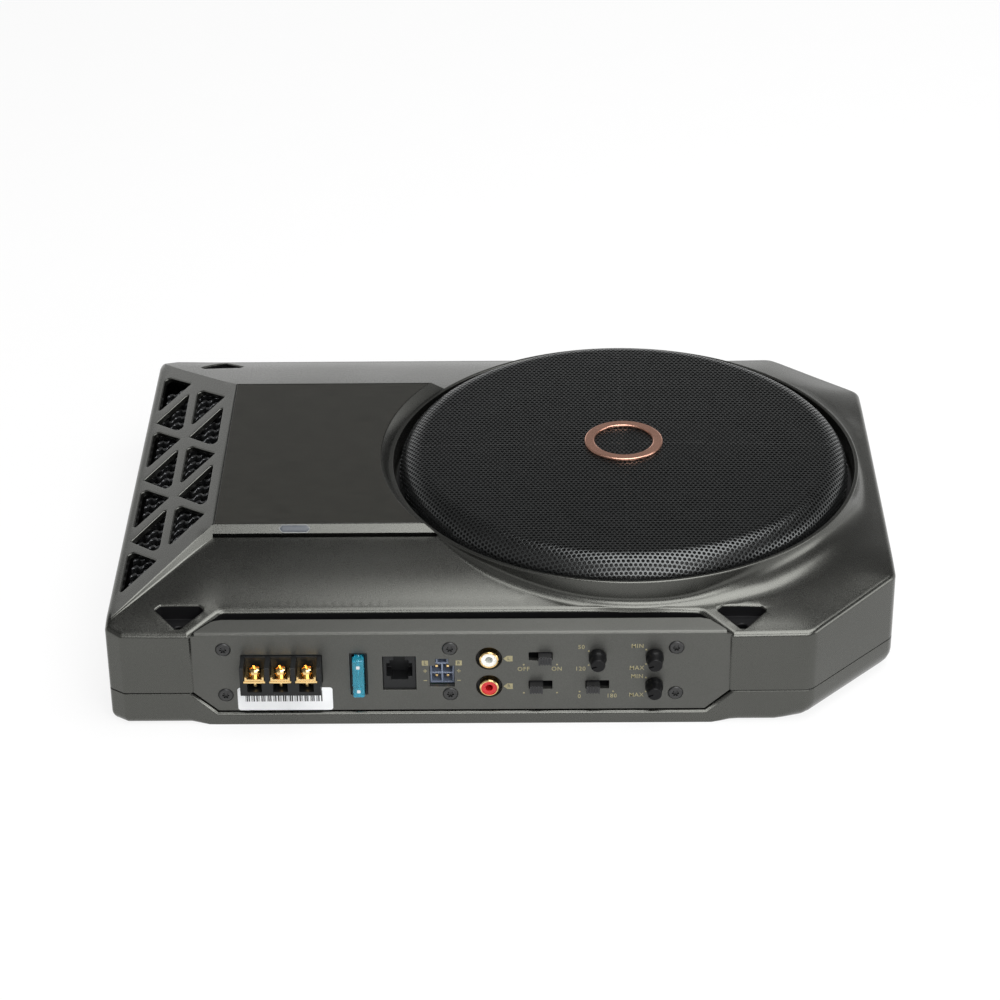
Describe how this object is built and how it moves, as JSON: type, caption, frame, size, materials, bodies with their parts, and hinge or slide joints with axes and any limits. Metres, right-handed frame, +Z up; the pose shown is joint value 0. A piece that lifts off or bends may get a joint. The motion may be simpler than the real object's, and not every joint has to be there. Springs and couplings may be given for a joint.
{
  "type": "powered car subwoofer",
  "caption": "Slim powered car subwoofer: a bevelled metal box with a round domed grille, a vented heat-sink slope and a front panel of terminals, sockets, slide switches and knobs.",
  "frame": {"origin": "centre of the casing's underside", "axes": "+X to the right seen from the connection panel, -Y out of the panel, +Z up through the grille"},
  "size_m": [0.345, 0.259, 0.0714],
  "materials": {
    "casing_paint": "satin gunmetal paint",
    "panel_paint": "fine matte gunmetal paint",
    "seal_rubber": "matte",
    "inlay_gloss": "polished",
    "indicator_lens": "frosted",
    "screw_steel": "black oxide",
    "grille_steel": "satin black powder coat",
    "badge_copper": "brushed copper plating",
    "basket_steel": "satin black",
    "surround_rubber": "matte",
    "cone_paper": "coated",
    "coil_copper": "enamelled copper",
    "spider_fabric": "impregnated cloth",
    "pole_steel": "zinc plated",
    "magnet_ferrite": "ground",
    "board_laminate": "solder resist",
    "sink_metal": "black anodised",
    "part_black": "moulded",
    "inlet_plastic": "moulded",
    "capacitor_sleeve": "plastic sleeve",
    "contact_gold": "gold plating",
    "fuse_plastic": "clear blue moulding",
    "insert_white": "moulded",
    "insert_red": "moulded",
    "control_black": "moulded",
    "label_paper": "satin film"
  },
  "bodies": {
    "casing": {"base_tray": "casing_paint", "top_cover": "casing_paint", "control_panel": "panel_paint", "casing_seal": "seal_rubber", "driver_gasket": "seal_rubber", "display_inlay": "inlay_gloss", "indicator_lights": "indicator_lens", "panel_screws": "screw_steel", "casing_screws": "screw_steel", "driver_screws": "screw_steel", "board_screws": "screw_steel", "grille": "grille_steel", "badge": "badge_copper", "basket": "basket_steel", "surround": "surround_rubber", "inductors": "coil_copper", "spider": "spider_fabric", "top_plate": "pole_steel", "pole_yoke": "pole_steel", "magnet": "magnet_ferrite", "amplifier_board": "board_laminate", "control_board": "board_laminate", "heat_sink": "sink_metal", "power_transistors": "part_black", "switch_bodies": "part_black", "potentiometers": "part_black", "phono_block": "part_black", "remote_jack": "part_black", "fuse_holder": "part_black", "terminal_block": "part_black", "speaker_inlet": "inlet_plastic", "filter_capacitors": "capacitor_sleeve", "driver_terminals": "contact_gold", "terminal_contacts": "contact_gold", "speaker_pins": "contact_gold", "phono_barrels": "contact_gold", "phono_insert_white": "insert_white", "phono_insert_red": "insert_red", "blank_label": "label_paper"},
    "cone_assembly": {"cone": "cone_paper", "dust_cap": "cone_paper", "voice_coil": "coil_copper"},
    "fuse": {"fuse": "fuse_plastic"},
    "sense_slider": {"sense_slider": "control_black"},
    "load_slider": {"load_slider": "control_black"},
    "phase_slider": {"phase_slider": "control_black"},
    "crossover_knob": {"crossover_knob": "control_black"},
    "level_knob": {"level_knob": "control_black"},
    "boost_knob": {"boost_knob": "control_black"},
    "clamp_1": {"clamp_1": "contact_gold"},
    "terminal_screw_1": {"terminal_screw_1": "contact_gold"},
    "clamp_2": {"clamp_2": "contact_gold"},
    "terminal_screw_2": {"terminal_screw_2": "contact_gold"},
    "clamp_3": {"clamp_3": "contact_gold"},
    "terminal_screw_3": {"terminal_screw_3": "contact_gold"}
  },
  "joints": [
    {"name": "cone_excursion", "type": "slide", "parent": "casing", "child": "cone_assembly", "axis": [0, 0, 1], "range_m": [-0.005, 0.005], "stiffness_N_per_m": 3000, "deforming": ["surround", "spider"]},
    {"name": "fuse_pull", "type": "slide", "parent": "casing", "child": "fuse", "axis": [0, -1, 0], "range_m": [0, 0.022]},
    {"name": "sense_slide", "type": "slide", "parent": "casing", "child": "sense_slider", "axis": [1, 0, 0], "range_m": [-0.0038, 0]},
    {"name": "load_slide", "type": "slide", "parent": "casing", "child": "load_slider", "axis": [1, 0, 0], "range_m": [0, 0.0038]},
    {"name": "phase_slide", "type": "slide", "parent": "casing", "child": "phase_slider", "axis": [1, 0, 0], "range_m": [0, 0.0038]},
    {"name": "crossover_turn", "type": "hinge", "parent": "casing", "child": "crossover_knob", "pos_m": [0.04, -0.124, 0.0344], "axis": [0, -1, 0], "range_deg": [0, 290]},
    {"name": "level_turn", "type": "hinge", "parent": "casing", "child": "level_knob", "pos_m": [0.0646, -0.124, 0.0344], "axis": [0, -1, 0], "range_deg": [0, 290]},
    {"name": "boost_turn", "type": "hinge", "parent": "casing", "child": "boost_knob", "pos_m": [0.0646, -0.124, 0.0196], "axis": [0, -1, 0], "range_deg": [0, 290]},
    {"name": "clamp_1_lift", "type": "slide", "parent": "casing", "child": "clamp_1", "axis": [0, 0, 1], "range_m": [0, 0.0021]},
    {"name": "terminal_screw_1_turn", "type": "hinge", "parent": "clamp_1", "child": "terminal_screw_1", "pos_m": [-0.1079, -0.1294, 0.0297], "axis": [0, 0, 1], "range_deg": [0, 1080]},
    {"name": "clamp_2_lift", "type": "slide", "parent": "casing", "child": "clamp_2", "axis": [0, 0, 1], "range_m": [0, 0.0021]},
    {"name": "terminal_screw_2_turn", "type": "hinge", "parent": "clamp_2", "child": "terminal_screw_2", "pos_m": [-0.0967, -0.1294, 0.0297], "axis": [0, 0, 1], "range_deg": [0, 1080]},
    {"name": "clamp_3_lift", "type": "slide", "parent": "casing", "child": "clamp_3", "axis": [0, 0, 1], "range_m": [0, 0.0021]},
    {"name": "terminal_screw_3_turn", "type": "hinge", "parent": "clamp_3", "child": "terminal_screw_3", "pos_m": [-0.0855, -0.1294, 0.0297], "axis": [0, 0, 1], "range_deg": [0, 1080]}
  ],
  "couplings": [
    {"joint": "terminal_screw_1_turn", "follows": "clamp_1_lift", "rad_per_m": 8976},
    {"joint": "terminal_screw_2_turn", "follows": "clamp_2_lift", "rad_per_m": 8976},
    {"joint": "terminal_screw_3_turn", "follows": "clamp_3_lift", "rad_per_m": 8976}
  ]
}
